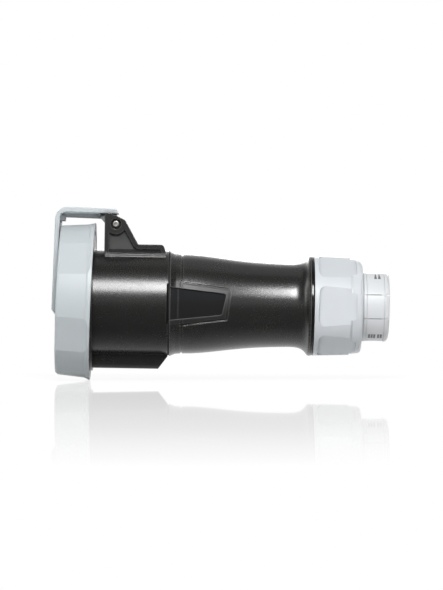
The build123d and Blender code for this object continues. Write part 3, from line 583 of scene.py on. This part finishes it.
def printedMarks(shop, plan):
    # a field of 0 and 1 over the near side, from the place along the body and the height
    x, y, z = shop.axes()
    near = y.below(0.0)
    climb = ((plan["arrowTip"] - z) / (plan["arrowTip"] - plan["arrowFoot"])).clamped()
    band = z.rise(plan["arrowFoot"] - plan["soft"], plan["arrowFoot"]) * z.below(plan["arrowTip"])
    field = 0.0
    for place in plan["arrowPlaces"]:
        wide = (x - place).absolute()
        inside = 1.0 - (wide - climb * plan["arrowHalf"]).rise(0.0, plan["soft"])
        field = inside * band + field
    row = z.band(plan["tickMiddle"], plan["tickLength"], plan["soft"])
    for place in plan["tickPlaces"]:
        field = x.band(place, plan["tickHalf"], plan["soft"]) * row + field
    return field.clamped() * near * plan["strength"]


def clampPlastic(plan, marks):
    parts = moulded("paleClampPlastic", plan)
    shop = parts["shop"]
    parts["Base Color"] = shop.colour(printedMarks(shop, marks), parts["Base Color"], marks["ink"])
    return finishMoulded(parts, plan["level"])


palePlastic = clampPlastic(clampPlan, markPlan)

# Glossy ring at the gland
glossPlan = dict(shellPlan, colour=paint(14, 14, 16), second=paint(18, 18, 20), roughness=0.14,
                 grainDepth=0.000001, edge=0.0006, wearAndHighlightShare=0.1, level=0.6)
glossRing = plastic("glossyRing", glossPlan)

# Rubber of the gaskets and the grommet: matte, with a bloom of pale talc
rubberPlan = {
    "colour": paint(30, 30, 31),
    "bloom": paint(58, 58, 58),
    "bloomNoise": (70.0, 5.0, 0.6),
    "bloomRange": (0.5, 0.8),
    "bloomShare": 0.5,
    "grainNoise": (3200.0, 2.0, 0.5),
    "grainRoughness": 0.12,
    "grainDepth": 0.00002,
    "roughness": 0.78,
    "edge": 0.0003,
    "level": 0.35,
}


def rubber(name, plan):
    shop = Shop(name)
    bloom = shop.noise(*plan["bloomNoise"]).rise(*plan["bloomRange"]) * plan["bloomShare"]
    grain = shop.noise(*plan["grainNoise"])
    return shop.finish({
        "Base Color": shop.colour(bloom, plan["colour"], plan["bloom"]),
        "Roughness": plan["roughness"] + (grain - 0.5) * plan["grainRoughness"],
        "Normal": shop.bump(grain * plan["grainDepth"], shop.rounded(plan["edge"])),
        "Specular IOR Level": plan["level"],
    })


sealRubber = rubber("sealRubber", rubberPlan)

# Metal: zinc-plated steel and machined brass, each with fine tool marks
steelPlan = {
    "colour": paint(190, 187, 182),
    "stain": paint(128, 120, 110),
    "stainShare": 0.55,
    "cloudNoise": (140.0, 3.0, 0.5),
    "cloudRange": (0.55, 0.8),
    "cloudShare": 0.15,
    "cloudRoughness": 0.14,
    "lineNoise": (900.0, 3.0, 0.6),
    "lineStretch": (1.0, 0.08, 1.0),
    "lineRoughness": 0.10,
    "lineDepth": 0.000008,
    "roughness": 0.40,
    "reach": 0.0012,
    "edge": 0.0002,
}


def metal(name, plan):
    shop = Shop(name)
    # stains in the corners and in faint clouds; the roughness varies with both noises
    lines = shop.noise(*plan["lineNoise"], shop.stretched(plan["lineStretch"]))
    cloud = shop.noise(*plan["cloudNoise"])
    corners = shop.crevice(plan["reach"]) * plan["stainShare"]
    stain = corners + cloud.rise(*plan["cloudRange"]) * plan["cloudShare"]
    uneven = (cloud - 0.5) * plan["cloudRoughness"] + (lines - 0.5) * plan["lineRoughness"]
    return shop.finish({
        "Base Color": shop.colour(stain.clamped(), plan["colour"], plan["stain"]),
        "Metallic": 1.0,
        "Roughness": plan["roughness"] + uneven,
        "Normal": shop.bump(lines * plan["lineDepth"], shop.rounded(plan["edge"])),
    })


platedSteel = metal("platedSteel", steelPlan)
springSteel = metal("springSteel", dict(steelPlan, colour=paint(150, 150, 152), roughness=0.36))
brassPlan = dict(steelPlan, colour=paint(214, 186, 122), stain=paint(120, 92, 50),
                 lineStretch=(1.0, 0.1, 0.1), roughness=0.26)
machinedBrass = metal("machinedBrass", brassPlan)

# Beads along the foot of the hinge bracket, one on each side, where it flares into the shell
beadPlastic = plastic("beadPlastic", dict(shellPlan, wearAndHighlightShare=0.1))
beadPlan = {
    "ends": (0.0268, 0.0755),  # along the body
    "top": (0.0205, 0.0402),  # distance from the middle plane and height, where it leaves the bracket
    "turn": 0.0388,  # height where it starts to flare
    "foot": (0.0217, 0.0362),  # where it meets the shell
    "inside": 0.0190,
    "swell": 0.0001,
    "steps": 8,
}


def makeBead(name, side, plan):
    # the bead's face drops from top to turn, then runs to foot in a line that bulges by
    # swell * sin(pi * share); it is closed through the inside and carried straight along the body
    share = np.linspace(0.0, 1.0, plan["steps"])
    topOut, topUp = plan["top"]
    footOut, footUp = plan["foot"]
    out = topOut + (footOut - topOut) * share + plan["swell"] * np.sin(np.pi * share)
    up = plan["turn"] + (footUp - plan["turn"]) * share
    out = np.concatenate([[topOut], out, [plan["inside"], plan["inside"]]])
    up = np.concatenate([[topUp], up, [footUp, topUp]])
    count = len(out)
    rings = [np.column_stack([np.full(count, x), side * out, up]) for x in plan["ends"]]
    points = np.concatenate(rings)
    index = np.arange(count)
    following = np.roll(index, -1)
    walls = np.column_stack([index, following, following + count, index + count])
    caps = [index[::-1].tolist(), (index + count).tolist()]
    faces = walls.tolist() + caps
    if side < 0:
        faces = [face[::-1] for face in faces]
    mesh = bpy.data.meshes.new(name)
    mesh.from_pydata(points.tolist(), [], faces)
    bead = bpy.data.objects.new(name, mesh)
    bpy.context.collection.objects.link(bead)
    bead.data.materials.append(beadPlastic)
    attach(bead, "housing")


for name, side in (("footBeadNear", -1), ("footBeadFar", 1)):
    makeBead(name, side, beadPlan)
print("foot beads made")

finishes = [
    (frontPlastic, ["front_housing"]),
    (handlePlastic, ["rear_housing"]),
    (lidPlastic, ["lid"]),
    (ringPlastic, ["bayonet_ring"]),
    (nutPlastic, ["gland_nut"]),
    (palePlastic, ["clamp_body", "clamp_jaw_upper", "clamp_jaw_lower"]),
    (washerPlastic, ["slip_washer"]),
    (insertPlastic, ["contact_carrier", "carrier_rear"]),
    (glossRing, ["gland_gasket"]),
    (sealRubber, ["housing_gasket", "lid_gasket", "grommet"]),
    (platedSteel, ["hinge_screw", "hinge_nut", "carrier_screws", "terminal_screws"]),
    (springSteel, ["ring_retainer"]),
    (machinedBrass, ["line_sleeve_left", "line_sleeve_right", "earth_sleeve", "pilot_sleeve"]),
]
for material, names in finishes:
    for name in names:
        slots = nodes[name].data.materials
        slots.clear()
        slots.append(material)
print("finishes set:", sum(len(names) for material, names in finishes), "nodes")
